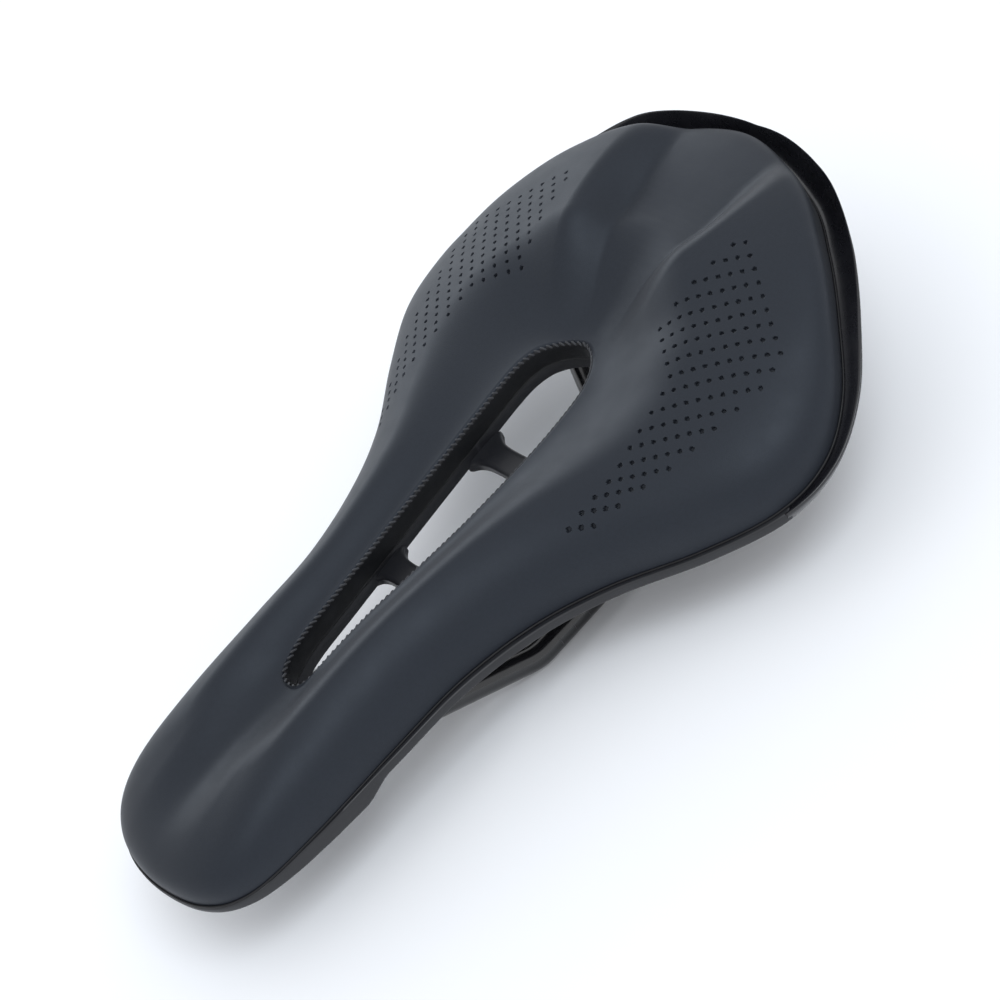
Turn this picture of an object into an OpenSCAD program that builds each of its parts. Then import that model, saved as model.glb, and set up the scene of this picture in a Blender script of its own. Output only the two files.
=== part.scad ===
// Bicycle saddle: short nose, long pressure-relief opening, two 7 mm rails.
// x runs from tail to nose, y to the rider's left, z up. The rails stand on z = 0.

/* [Size] */
// length from the nose to the end of the tail lip, mm
saddle_length = 238; // [228:1:248]
// width across the wings, mm
saddle_width = 154; // [146:1:162]

/* [Padding and shell] */
// thickness of the synthetic leather cover, mm
cover_t = 1.1; // [0.8:0.1:1.4]
// thickness of the foam under the crown of the pads, mm
foam_t = 12; // [11:0.5:13]
// wall of the moulded base shell, mm
shell_t = 3; // [2.5:0.1:3.5]
// how far the moulded rim stands out past the cover, mm
rim_w = 2; // [1.5:0.1:2.5]
// how far the tail bumper stands out past the cover, mm
lip_w = 6; // [4:0.5:7]

/* [Rails] */
// rail diameter, mm
rail_d = 7; // [7:0.1:7.1]
// distance between the two rail centres at the clamp, mm
rail_gap = 44; // [43.5:0.5:44.5]
// x of the bend behind the straight clamp length, mm
clamp_rear = -50; // [-52:1:-48]
// x of the bend in front of the straight clamp length, mm
clamp_front = 16; // [14:1:18]

/* [Stitching] */
// number of stitches around the opening
stitch_count = 144; // [120:2:150]

/* [Part to draw] */
// which piece to draw

/* [Hidden] */

// one row per station around the right half of the outline, nose to tail:
// seam x, y, z, then the opening's edge x, y, z, then the height of the crown
STATIONS = [
    [119, 0, 26, 64.5, 0, 37.8, 41],
    [115.8, 17, 25, 63.6, 3.2, 38, 42],
    [106, 26.2, 24.6, 60.5, 5.2, 38.5, 43.5],
    [86, 28.6, 24.5, 53, 6.5, 39.8, 45],
    [60, 28.8, 24.5, 40, 7.5, 40.5, 46],
    [37, 29.6, 24.5, 25, 9.3, 40.7, 46],
    [16, 35, 24.5, 9.5, 11.1, 41, 46.5],
    [-2, 45, 24.6, -5, 12.3, 41.6, 47],
    [-20, 60.2, 25.3, -18, 13.1, 42.4, 48],
    [-37, 71.5, 26.8, -28, 13.3, 43.3, 49.5],
    [-52, 73.8, 29, -34.5, 12.9, 43.9, 51.5],
    [-66, 69.4, 34, -39.5, 11.3, 44.2, 54],
    [-80, 59.2, 41, -43, 8.9, 44, 55.4],
    [-94, 45.2, 45, -45.7, 5.9, 43.6, 59],
    [-106, 28.5, 46.4, -47.4, 2.9, 43.3, 61.5],
    [-115, 0, 46.6, -48.2, 0, 43.2, 62]
];
LAST = len(STATIONS) - 1;
AROUND = 2 * LAST;
SPOKES = 90;

kx = saddle_length / 238;
ky = saddle_width / 154;
rail_r = rail_d / 2;
rail_y = rail_gap / 2;
gap = 0.3;

// ---- smooth outline -------------------------------------------------

function wrap(i) = (i % AROUND + AROUND) % AROUND;
function mirrored(v) = [v[0], -v[1], v[2], v[3], -v[4], v[5], v[6]];
function knot(i) = wrap(i) <= LAST
    ? STATIONS[wrap(i)]
    : mirrored(STATIONS[AROUND - wrap(i)]);
function curve(a, b, c, d, t) = 0.5 * (2 * b + (c - a) * t
    + (2 * a - 5 * b + 4 * c - d) * t * t
    + (3 * b - a - 3 * c + d) * t * t * t);
function blend(s) = let (i = floor(s)) curve(
    knot(i - 1), knot(i), knot(i + 1), knot(i + 2), s - i);
// a station anywhere around the outline, stretched to the chosen size
function station(s) = let (v = blend(s))
    [v[0] * kx, v[1] * ky, v[2], v[3] * kx, v[4] * ky, v[5], v[6]];

function ease(t) = let (u = min(1, max(0, t))) u * u * (3 - 2 * u);
function mix(a, b, t) = a + (b - a) * t;

// ---- shape of the padded top ----------------------------------------

// valley that runs from the opening to the tail: its depth, where its flat
// floor ends to either side, and how far out its flanks rise
valley_depth = [[-120, 5], [-101, 7], [-90, 9.3], [-80, 10.3],
    [-67, 6.5], [-58, 2.2], [-50, 0]];
valley_floor = [[-115, 17.5], [-101, 16.5], [-80, 13], [-64, 8], [-50, 4]];
flank = 12.5;
function valley(x, y) = let (
    t = min(1, max(0, (abs(y) - lookup(x, valley_floor)) / flank)))
    lookup(x, valley_depth) * (1 - mix(ease(t), sin(90 * t), 0.5));

// soft groove along the middle of the nose
groove_depth = [[56, 0], [66, 1.2], [80, 2.6], [96, 2.8], [116, 0]];
groove_half = 12;
function groove(x, y) = lookup(x, groove_depth) * (1 - ease(abs(y) / groove_half));

// squareness of the shoulder: round at the nose, full at the tail
function fullness(x) = 3 - 0.4 * ease((x - 8) / 40)
    + 4 * ease((-62 - x) / 40);

function seam_of(v) = [v[0], v[1]];
function edge_of(v) = [v[3], v[4]];
function reach(v) = norm(seam_of(v) - edge_of(v));
function outward(v) = (seam_of(v) - edge_of(v)) / reach(v);

// point of the padded top, r = 0 at the opening and 1 at the seam,
// sunk by depth d below the outer face of the cover
function pad_point(v, r, d) = let (
    q = edge_of(v) + outward(v) * (reach(v) - d) * r,
    top = mix(v[5], v[6], ease(r / 0.5)) - d,
    dome = pow(max(0, 1 - r * r), 1 / fullness(v[0])),
    sink = valley(q[0], q[1]) + groove(q[0], q[1]))
    [q[0], q[1], v[2] + (top - v[2] - sink) * dome];

// ---- shape of the base shell ----------------------------------------

edge_drop = 6.5;
edge_h = 4;
function shell_top(v, r) = let (
    crown = v[6] - foam_t,
    z0 = v[5] - edge_drop,
    top = mix(z0, crown, ease(r / 0.5)),
    dome = pow(max(0, 1 - pow(r, 3)), 1 / 2.5),
    q = edge_of(v) + outward(v) * (reach(v) - 3) * r,
    sink = valley(q[0], q[1]) * 0.7 * (1 - r))
    min(v[2] - gap + (top - v[2]) * dome - sink, crown);

// height of the rim: a deeper skirt on the flanks of the nose
function rim_h(v) = lookup(v[0], [[64, 3], [71, 5.4], [92, 4.6], [119, 1.8]]);
// how far the rim stands out: nearly flush at the tip of the nose
function rim_reach(v) = rim_w * lookup(v[0], [[60, 1], [100, 0.5], [119, 0.3]]);

// ---- closed rings -----------------------------------------------------

// joins a list of closed section loops into one ring-shaped solid
module ring_solid(loops) {
    n = len(loops);
    m = len(loops[0]);
    polyhedron(
        points = [for (loop = loops) each loop],
        faces = [for (k = [0:n - 1], j = [0:m - 1]) let (
            k2 = (k + 1) % n,
            j2 = (j + 1) % m,
            a = k * m + j,
            b = k * m + j2,
            c = k2 * m + j2,
            d = k2 * m + j)
            each [[a, c, b], [a, d, c]]]);
}

// the same, but open and capped at both ends
module strip_solid(loops) {
    n = len(loops);
    m = len(loops[0]);
    polyhedron(
        points = [for (loop = loops) each loop],
        faces = concat(
            [for (k = [0:n - 2], j = [0:m - 1]) let (
                j2 = (j + 1) % m,
                a = k * m + j,
                b = k * m + j2,
                c = (k + 1) * m + j2,
                d = (k + 1) * m + j)
                each [[a, c, b], [a, d, c]]],
            [[for (j = [0:m - 1]) j]],
            [[for (j = [m - 1:-1:0]) (n - 1) * m + j]]));
}

function spokes(n = SPOKES) = [for (k = [0:n - 1]) station(k * AROUND / n)];
// a point beside the seam: out past it, and up from it
function by_seam(v, out, up) = let (q = seam_of(v) + outward(v) * out)
    [q[0], q[1], v[2] + up];
// a point beside the opening's edge: in towards the middle, and up
function by_edge(v, in, up) = let (q = edge_of(v) - outward(v) * in)
    [q[0], q[1], v[5] + up];

// ---- padding ------------------------------------------------------------

COVER_R = [0, 0.05, 0.13, 0.24, 0.36, 0.48, 0.6, 0.72, 0.82, 0.9, 0.96, 0.99, 1];

module cover() {
    color([0.2, 0.21, 0.24])
    ring_solid([for (v = spokes()) concat(
        [for (r = COVER_R) pad_point(v, r, 0)],
        [for (i = [len(COVER_R) - 1:-1:0]) pad_point(v, COVER_R[i], cover_t)])]);
}

module foam_body() {
    d = cover_t + gap;
    ring_solid([for (v = spokes()) concat(
        [for (r = COVER_R) pad_point(v, r, d)],
        [for (i = [len(COVER_R) - 3:-2:0]) let (
            r = COVER_R[i],
            q = pad_point(v, r, d))
            [q[0], q[1], shell_top(v, r) + gap]])]);
}

gel_r = 16;
gel_h = 4;
gel_x = -52;
gel_y = 41;
gel_z = 42;

module gel_disc(side, grow = 0) {
    translate([gel_x * kx, side * gel_y * ky, gel_z - grow])
        cylinder(r = gel_r + grow, h = gel_h + 2 * grow, $fn = 64);
}

module foam_pad() {
    color([0.85, 0.83, 0.75])
    difference() {
        foam_body();
        gel_disc(1, gap);
        gel_disc(-1, gap);
    }
}

module gel_pad_left() {
    color([0.35, 0.5, 0.7])
    gel_disc(1);
}

module gel_pad_right() {
    color([0.35, 0.5, 0.7])
    gel_disc(-1);
}

module cutout_liner() {
    color([0.08, 0.08, 0.09])
    ring_solid([for (v = spokes(72)) [
        by_edge(v, 1.2, -0.4),
        by_edge(v, 0.2, -0.4),
        by_edge(v, 0.2, gap - edge_drop),
        by_edge(v, 1.2, gap - edge_drop)]]);
}

stitch_d = 0.7;
stitch_l = 1.3;
WALK_N = 300;

function on_edge(s) = by_edge(station(s), 0.9, 0.25);
function walk_s(i) = i * AROUND / WALK_N;
// distance along the opening's edge against the place around the outline
EDGE_WALK = [for (i = 0, d = 0; i <= WALK_N;
    d = d + norm(on_edge(walk_s(i + 1)) - on_edge(walk_s(i))), i = i + 1)
    [d, walk_s(i)]];
EDGE_LENGTH = EDGE_WALK[WALK_N][0];

module cutout_thread() {
    color([0.6, 0.62, 0.65])
    for (k = [0:stitch_count - 1]) {
        s = lookup(EDGE_LENGTH * k / stitch_count, EDGE_WALK);
        a = on_edge(s);
        b = on_edge(s + 0.01);
        dir = b - a;
        translate(a)
            rotate([0, acos(dir[2] / norm(dir)), atan2(dir[1], dir[0])])
            translate([0, 0, -stitch_l / 2])
            cylinder(d = stitch_d, h = stitch_l, $fn = 16);
    }
}

module edge_bead() {
    color([0.1, 0.1, 0.11])
    ring_solid([for (v = spokes()) [
        by_seam(v, 0.2, 0.5),
        by_seam(v, 0.9, 0.5),
        by_seam(v, 0.9, 0),
        by_seam(v, 0.2, 0)]]);
}

// ---- base shell -----------------------------------------------------------

bumper_from = 9;
SHELL_R = [0, 0.14, 0.3, 0.48, 0.66, 0.82, 0.93];

// the shell's rim stops short where the tail bumper takes over
function in_tail(s) = s > bumper_from - 0.2 && s < AROUND - bumper_from + 0.2;
function rim_out(s) = in_tail(s) ? -1.2 : rim_reach(station(s));

function shell_point(v, r, down) = let (
    q = edge_of(v) + outward(v) * (reach(v) - 3) * r)
    [q[0], q[1], shell_top(v, r) - down];

function shell_loop(s) = let (v = station(s), h = rim_h(v), out = rim_out(s))
    concat(
        [for (r = SHELL_R) shell_point(v, r, 0)],
        [by_seam(v, -2.8, -gap),
         by_seam(v, out, -gap),
         by_seam(v, out, -h),
         by_seam(v, -3.2, -h)],
        [for (i = [len(SHELL_R) - 1:-1:1]) shell_point(v, SHELL_R[i], shell_t)],
        [shell_point(v, 0, edge_h)]);

bridge_w = 8;
bridge_h = 3.5;
bridge_z = 29;
// x of each bridge across the opening, and half its length
BRIDGES = [[-14.5, 14.2], [24, 10.6]];

module bridges() {
    for (b = BRIDGES)
        translate([b[0] * kx - bridge_w / 2, -b[1], bridge_z])
            cube([bridge_w, 2 * b[1], bridge_h]);
}

// screws that hold the rail blocks: x, y, block underside, boss foot, boss top
NOSE_SCREWS = [[69, 0, 13, 25, 28], [83, 0, 13, 25, 28]];
REAR_SCREWS = [[-75, 30.4, 27.5, 39.3, 44.5], [-75, 47, 27.5, 39.3, 42.6]];
boss_r = 4.5;
insert_r = 2.6;
bolt_r = 2;

function left_and_right(list) = [for (p = list, side = [1, -1])
    [p[0], side * p[1], p[2], p[3], p[4]]];
BLOCK_SCREWS = concat(NOSE_SCREWS, left_and_right(REAR_SCREWS));

// upright cylinder at a screw, from z = a to z = b
module at_screw(p, r, a, b) {
    translate([p[0], p[1], a])
        cylinder(r = r, h = b - a, $fn = 48);
}

// screws that hold the tail bumper, as places around the outline
BUMPER_SCREWS = [12.6, 13.8, 15, 16.2, 17.4];
tack_r = 1.2;

module at_tack(s, r, up, h) {
    p = by_seam(station(s), -3, up);
    translate(p)
        cylinder(r = r, h = h, $fn = 32);
}

module base_shell() {
    color([0.09, 0.09, 0.1])
    difference() {
        union() {
            ring_solid([for (k = [0:SPOKES - 1]) shell_loop(k * AROUND / SPOKES)]);
            bridges();
            for (p = BLOCK_SCREWS) at_screw(p, boss_r, p[3], p[4]);
        }
        for (p = BLOCK_SCREWS) at_screw(p, insert_r + gap, p[3] - 1, p[4] - 0.8);
        for (s = BUMPER_SCREWS) at_tack(s, tack_r + gap, -5, 3.8);
    }
}

module screw_inserts() {
    color([0.75, 0.6, 0.3])
    for (p = BLOCK_SCREWS)
        difference() {
            at_screw(p, insert_r, p[3], p[4] - 1.1);
            at_screw(p, bolt_r + 0.1, p[3] - 1, p[4]);
        }
}

// ---- tail bumper ------------------------------------------------------------

// how far the lip stands out, and how far it rises at its two rear corners,
// against the place around the outline from the nose
lip_out = [[9, 0.37], [10.5, 0.6], [11.5, 0.85], [13, 1.15], [14, 1], [15, 0.55]];
lip_up = [[9, -0.3], [11.5, 0.2], [12.3, 1], [13, 3], [13.5, 5.4], [14, 7.4],
    [14.5, 6.4], [15, 4.4]];
function from_nose(s) = min(s, AROUND - s);
function lip(s) = lip_w * lookup(from_nose(s), lip_out);
function flare(s) = lookup(from_nose(s), lip_up);

function bumper_loop(s) = let (v = station(s), w = lip(s), f = flare(s)) [
    by_seam(v, -0.9, -gap),
    by_seam(v, w * 0.3, -0.6),
    by_seam(v, w * 0.65, mix(-gap, f, 0.3)),
    by_seam(v, w, f),
    by_seam(v, w + 0.1, f - 0.8),
    by_seam(v, w * 0.6, -3),
    by_seam(v, 0, -4.6),
    by_seam(v, -5, -4.6),
    by_seam(v, -5, -3.5),
    by_seam(v, -0.9, -3.5)];

module tail_bumper() {
    span = AROUND - 2 * bumper_from;
    color([0.05, 0.05, 0.06])
    difference() {
        strip_solid([for (k = [0:60]) bumper_loop(bumper_from + span * k / 60)]);
        for (s = BUMPER_SCREWS) at_tack(s, tack_r + gap, -6, 3);
    }
}

module tail_bumper_screws() {
    color([0.3, 0.3, 0.32])
    for (s = BUMPER_SCREWS) {
        at_tack(s, tack_r, -5.9, 4.4);
        at_tack(s, 2.2, -5.9, 1.2);
    }
}

// ---- rails ----------------------------------------------------------------

tube_r = 2.3;
function rail_path(side) = [
    [86, side * 9, 19],
    [60, side * 13.5, 18.8],
    [clamp_front, side * rail_y, rail_r],
    [clamp_rear, side * rail_y, rail_r],
    [-62, side * 37, 31],
    [-84.5, side * 39.5, 33.4]];
BENDS = [0, 30, 15, 10, 14, 0];
BEND_SIDES = 32;
BEND_LAP = 1;

function unit(v) = v / norm(v);
function turn_at(p, i) = acos(unit(p[i] - p[i - 1]) * unit(p[i + 1] - p[i]));
function cut_at(p, i) = i == 0 || i == len(p) - 1
    ? 0 : BENDS[i] * tan(turn_at(p, i) / 2);

module rod(a, b, r) {
    d = b - a;
    translate(a)
        rotate([0, acos(d[2] / norm(d)), atan2(d[1], d[0])])
        cylinder(r = r, h = norm(d), $fn = 48);
}

// bend between two straight lengths, reaching a little way into both
module bend(p, i, r) {
    u = unit(p[i] - p[i - 1]);
    w = unit(p[i + 1] - p[i]);
    x = -unit(w - u * (u * w));
    z = cross(x, u);
    c = p[i] - u * cut_at(p, i) - x * BENDS[i];
    turn = turn_at(p, i);
    n = ceil(turn / 6);
    strip_solid([for (k = [-1:n + 1]) let (
        t = turn * min(n, max(0, k)) / n,
        e = x * cos(t) + u * sin(t),
        past = k < 0 ? -u * BEND_LAP : k > n ? w * BEND_LAP : [0, 0, 0])
        [for (j = [0:BEND_SIDES - 1]) let (f = j * 360 / BEND_SIDES)
            c + past + e * (BENDS[i] + r * cos(f)) - z * r * sin(f)]]);
}

module swept(p, r) {
    for (i = [0:len(p) - 2]) {
        u = unit(p[i + 1] - p[i]);
        rod(p[i] + u * cut_at(p, i), p[i + 1] - u * cut_at(p, i + 1), r);
    }
    for (i = [1:len(p) - 2]) bend(p, i, r - 0.02);
}

// direction of the rail at its nose end and at its rear end
function nose_dir(side) = let (p = rail_path(side)) unit(p[0] - p[1]);
function rear_dir(side) = let (p = rail_path(side)) unit(p[5] - p[4]);
function rail_ends(side) = let (p = rail_path(side))
    [[p[0], nose_dir(side)], [p[5], rear_dir(side)]];

module rail(side) {
    color([0.12, 0.12, 0.13])
    difference() {
        swept(rail_path(side), rail_r);
        for (e = rail_ends(side)) rod(e[0] - e[1] * 10, e[0] + e[1], tube_r);
    }
}

module rail_left() {
    rail(1);
}

module rail_right() {
    rail(-1);
}

module rail_end_caps() {
    color([0.1, 0.1, 0.1])
    for (side = [1, -1]) {
        for (e = rail_ends(side)) {
            rod(e[0] - e[1] * 6, e[0] + e[1] * 0.2, tube_r - 0.05);
            rod(e[0] + e[1] * 0.1, e[0] + e[1] * 1.6, rail_r);
        }
    }
}

// ---- rail blocks and rubber sleeves --------------------------------------------

sleeve_r = rail_r + 1.2;
nose_block_x = [64, 88];
rear_block_x = [-84, -66];

// a sleeve on the rail between x = a and x = b, with the rail passing through
module on_nose(side, a, b, r) {
    p = rail_path(side)[0];
    u = nose_dir(side);
    rod(p + u * (a - p[0]) / u[0], p + u * (b - p[0]) / u[0], r);
}

module on_rear(side, a, b, r) {
    p = rail_path(side)[5];
    u = rear_dir(side);
    rod(p + u * (a - p[0]) / u[0], p + u * (b - p[0]) / u[0], r);
}

module nose_sleeves() {
    color([0.15, 0.15, 0.15])
    for (side = [1, -1])
        difference() {
            on_nose(side, 65, 84, sleeve_r);
            on_nose(side, 58, 93, rail_r + 0.05);
        }
}

module rear_sleeve(side) {
    color([0.15, 0.15, 0.15])
    difference() {
        on_rear(side, -67, -82, sleeve_r);
        on_rear(side, -60, -92, rail_r + 0.05);
    }
}

module rear_sleeve_left() {
    rear_sleeve(1);
}

module rear_sleeve_right() {
    rear_sleeve(-1);
}

head_r = 3.4;
head_h = 3;

// room for a screw and its sunk head
module screw_way(p) {
    at_screw(p, bolt_r + gap, p[2] - 1, p[3] + 1);
    at_screw(p, head_r + gap, p[2] - 1, p[2] + head_h + gap);
}

// block with rounded upright corners, from x and y ranges, foot and height
module rounded_block(xs, ys, z, h) {
    r = 3.5;
    translate([xs[0] + r, ys[0], z])
        cube([xs[1] - xs[0] - 2 * r, ys[1] - ys[0], h]);
    translate([xs[0], ys[0] + r, z])
        cube([xs[1] - xs[0], ys[1] - ys[0] - 2 * r, h]);
    for (x = [xs[0] + r, xs[1] - r], y = [ys[0] + r, ys[1] - r])
        translate([x, y, z])
            cylinder(r = r, h = h, $fn = 48);
}

module nose_block() {
    color([0.11, 0.11, 0.12])
    difference() {
        rounded_block(nose_block_x, [-18, 18], 13, 11.8);
        for (side = [1, -1]) on_nose(side, 58, 94, sleeve_r + 0.1);
        for (p = NOSE_SCREWS) screw_way(p);
    }
}

module rear_block(side) {
    color([0.11, 0.11, 0.12])
    difference() {
        rounded_block(rear_block_x, [side * 38.7 - 13, side * 38.7 + 13], 27.5, 11.5);
        on_rear(side, -60, -93, sleeve_r + 0.1);
        for (p = REAR_SCREWS) screw_way([p[0], side * p[1], p[2], p[3], p[4]]);
    }
}

module rear_block_left() {
    rear_block(1);
}

module rear_block_right() {
    rear_block(-1);
}

// socket-head screw standing in its block and reaching into the insert
module block_screw(p) {
    color([0.35, 0.35, 0.37])
    difference() {
        union() {
            at_screw(p, head_r, p[2] + 0.1, p[2] + head_h);
            at_screw(p, bolt_r, p[2] + 1, p[4] - 1.2);
        }
        translate([p[0], p[1], p[2] - 1])
            cylinder(r = 1.7, h = 2.8, $fn = 6);
    }
}

module nose_block_screws() {
    for (p = NOSE_SCREWS) block_screw(p);
}

module rear_block_screws() {
    for (p = left_and_right(REAR_SCREWS)) block_screw(p);
}

base_shell();
foam_pad();
gel_pad_left();
gel_pad_right();
cover();
cutout_liner();
cutout_thread();
edge_bead();
tail_bumper();
tail_bumper_screws();
rail_left();
rail_right();
rail_end_caps();
nose_block();
nose_sleeves();
nose_block_screws();
rear_block_left();
rear_block_right();
rear_sleeve_left();
rear_sleeve_right();
rear_block_screws();
screw_inserts();
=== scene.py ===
"""Looks of a bicycle saddle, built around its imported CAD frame."""

import math

import bpy
import numpy as np
from mathutils import Matrix, Vector


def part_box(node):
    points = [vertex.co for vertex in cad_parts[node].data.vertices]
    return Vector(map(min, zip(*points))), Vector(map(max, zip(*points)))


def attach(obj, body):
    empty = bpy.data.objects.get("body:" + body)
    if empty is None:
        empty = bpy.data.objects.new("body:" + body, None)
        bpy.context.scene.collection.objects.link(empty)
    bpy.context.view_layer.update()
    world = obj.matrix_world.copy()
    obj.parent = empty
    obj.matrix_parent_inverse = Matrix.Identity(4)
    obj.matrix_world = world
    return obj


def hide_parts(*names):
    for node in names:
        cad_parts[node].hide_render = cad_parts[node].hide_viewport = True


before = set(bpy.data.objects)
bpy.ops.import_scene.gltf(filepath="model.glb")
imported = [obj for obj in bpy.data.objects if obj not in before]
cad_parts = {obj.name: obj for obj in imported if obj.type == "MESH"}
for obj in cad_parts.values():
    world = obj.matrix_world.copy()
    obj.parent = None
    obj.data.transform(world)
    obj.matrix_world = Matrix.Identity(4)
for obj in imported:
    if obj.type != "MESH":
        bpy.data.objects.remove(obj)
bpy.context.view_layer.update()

MM = 0.001
GAP = 0.3

# ---- outline of the padded top, in millimetres -------------------------------

# one row per station around the left half, nose to tail: seam x, y, z,
# then the opening's edge x, y, z, then the height of the crown
STATIONS = [
    [119, 0, 26, 64.5, 0, 37.8, 41],
    [115.8, 17, 25, 63.6, 3.2, 38, 42],
    [106, 26.2, 24.6, 60.5, 5.2, 38.5, 43.5],
    [86, 28.6, 24.5, 53, 6.5, 39.8, 45],
    [60, 28.8, 24.5, 40, 7.5, 40.5, 46],
    [37, 29.6, 24.5, 25, 9.3, 40.7, 46],
    [16, 35, 24.5, 9.5, 11.1, 41, 46.5],
    [-2, 45, 24.6, -5, 12.3, 41.6, 47],
    [-20, 60.2, 25.3, -18, 13.1, 42.4, 48],
    [-37, 71.5, 26.8, -28, 13.3, 43.3, 49.5],
    [-52, 73.8, 29, -34.5, 12.9, 43.9, 51.5],
    [-66, 69.4, 34, -39.5, 11.3, 44.2, 54],
    [-80, 59.2, 41, -43, 8.9, 44, 55.4],
    [-94, 45.2, 45, -45.7, 5.9, 43.6, 59],
    [-106, 28.5, 46.4, -47.4, 2.9, 43.3, 61.5],
    [-115, 0, 46.6, -48.2, 0, 43.2, 62],
]
OTHER_SIDE = np.array([1, -1, 1, 1, -1, 1, 1])
KNOTS = np.array(STATIONS, float)
KNOTS = np.concatenate([KNOTS, KNOTS[-2:0:-1] * OTHER_SIDE])
AROUND = len(KNOTS)


def ease(t):
    """Smooth step from 0 to 1."""
    u = np.clip(t, 0, 1)
    return u * u * (3 - 2 * u)


def mix(a, b, t):
    """Value that goes from a to b as t goes from 0 to 1."""
    return a + (b - a) * t


def station(s):
    """Stations at places s around the outline, on a smooth closed curve."""
    s = np.asarray(s, float)
    i = np.floor(s).astype(int)
    t = (s - i)[..., None]
    a, b, c, d = (KNOTS[(i + k) % AROUND] for k in (-1, 0, 1, 2))
    return 0.5 * (2 * b + (c - a) * t + (2 * a - 5 * b + 4 * c - d) * t ** 2
                  + (3 * b - a - 3 * c + d) * t ** 3)


def outward(v):
    """Plan direction from the opening's edge to the seam, and the distance."""
    way = v[..., 0:2] - v[..., 3:5]
    reach = np.linalg.norm(way, axis=-1, keepdims=True)
    return way / reach, reach


def by_seam(v, out, up):
    """Points beside the seam: out past it, and up from it."""
    way, _ = outward(v)
    out, up = np.broadcast_arrays(out, up)
    q = v[..., 0:2] + way * out[..., None]
    return np.concatenate([q, (v[..., 2] + up)[..., None]], -1)


def by_edge(v, inward, up):
    """Points beside the opening's edge: in towards the middle, and up."""
    way, _ = outward(v)
    inward, up = np.broadcast_arrays(inward, up)
    q = v[..., 3:5] - way * inward[..., None]
    return np.concatenate([q, (v[..., 5] + up)[..., None]], -1)


# ---- shape of the padded top ---------------------------------------------------

VALLEY_DEPTH = [(-120, 5), (-101, 7), (-90, 9.3), (-80, 10.3), (-67, 6.5),
                (-58, 2.2), (-50, 0)]
VALLEY_FLOOR = [(-115, 17.5), (-101, 16.5), (-80, 13), (-64, 8), (-50, 4)]
FLANK = 12.5
GROOVE_DEPTH = [(56, 0), (66, 1.2), (80, 2.6), (96, 2.8), (116, 0)]
GROOVE_HALF = 12


def lookup(x, table, blur=0.0):
    """Value from a table, averaged over a width where it has to be smooth."""
    xs, ys = zip(*table)
    spread = np.linspace(-blur, blur, 9) if blur else [0.0]
    return sum(np.interp(x + k, xs, ys) for k in spread) / len(spread)


def sunk(x, y):
    """Depth of the tail valley and of the groove along the nose."""
    rise = np.clip((np.abs(y) - lookup(x, VALLEY_FLOOR, 8)) / FLANK, 0, 1)
    climb = mix(ease(rise), np.sin(rise * math.pi / 2), 0.5)
    tail = lookup(x, VALLEY_DEPTH, 10) * (1 - climb)
    nose = lookup(x, GROOVE_DEPTH, 9) * (1 - ease(np.abs(y) / GROOVE_HALF))
    return tail + nose


def fullness(x):
    """Squareness of the shoulder: round at the nose, full at the tail."""
    return 3 - 0.4 * ease((x - 8) / 40) + 4 * ease((-62 - x) / 40)


def pad_point(v, r, d):
    """Points of the padded top: r is 0 at the opening and 1 at the seam, and
    d is the depth below the outer face of the cover."""
    way, reach = outward(v)
    q = v[..., 3:5] + way * (reach - d) * np.asarray(r)[..., None]
    top = mix(v[..., 5], v[..., 6], ease(r / 0.5)) - d
    dome = np.maximum(0, 1 - r * r) ** (1 / fullness(v[..., 0]))
    z = v[..., 2] + (top - v[..., 2] - sunk(q[..., 0], q[..., 1])) * dome
    return np.concatenate([q, z[..., None]], -1)


# ---- meshes ----------------------------------------------------------------------

def make_piece(name, verts, faces, mat, stands_for=(), slot=None, smooth=40):
    """A mesh object in metres from points in millimetres, riding on the body."""
    mesh = bpy.data.meshes.new(name)
    mesh.from_pydata((np.asarray(verts) * MM).tolist(), [], faces)
    mesh.validate()
    piece = bpy.data.objects.new(name, mesh)
    bpy.context.scene.collection.objects.link(piece)
    mesh.shade_smooth()
    mesh.set_sharp_from_angle(angle=math.radians(smooth))
    mesh.materials.append(mat)
    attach(piece, "root")
    if stands_for:
        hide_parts(*stands_for)
    return piece


def grid_faces(rows, cols, wrap_rows, wrap_cols):
    """Quads over a grid of points, closed round on itself where asked."""
    k = np.arange(rows if wrap_rows else rows - 1)[:, None]
    j = np.arange(cols if wrap_cols else cols - 1)[None, :]
    k2, j2 = (k + 1) % rows, (j + 1) % cols
    quads = np.stack([k * cols + j, k2 * cols + j, k2 * cols + j2, k * cols + j2], -1)
    return quads.reshape(-1, 4).tolist()


def ring(loops):
    """Closed ring from section loops, as (points, faces)."""
    rows, cols = loops.shape[:2]
    return loops.reshape(-1, 3), grid_faces(rows, cols, True, True)


def strip(loops):
    """Bar from section loops, capped at both ends, as (points, faces)."""
    rows, cols = loops.shape[:2]
    faces = grid_faces(rows, cols, False, True)
    faces.append(list(range(cols))[::-1])
    faces.append([(rows - 1) * cols + j for j in range(cols)])
    return loops.reshape(-1, 3), faces


def joined(parts):
    """Several (points, faces) as one."""
    verts, faces, base = [], [], 0
    for points, quads in parts:
        verts.append(points)
        faces += [[i + base for i in face] for face in quads]
        base += len(points)
    return np.concatenate(verts), faces


def rounded(loops, radius, steps=4):
    """Section loops with their corners rounded off."""
    before, after = np.roll(loops, 1, 1), np.roll(loops, -1, 1)

    def cut(other):
        way = other - loops
        length = np.linalg.norm(way, axis=-1, keepdims=True)
        return loops + way * np.minimum(radius / np.maximum(length, 1e-6), 0.45)

    a, c = cut(before), cut(after)
    points = [a * (1 - t) ** 2 + loops * 2 * t * (1 - t) + c * t * t
              for t in np.linspace(0, 1, steps)]
    return np.stack(points, 2).reshape(loops.shape[0], -1, 3)


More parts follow.
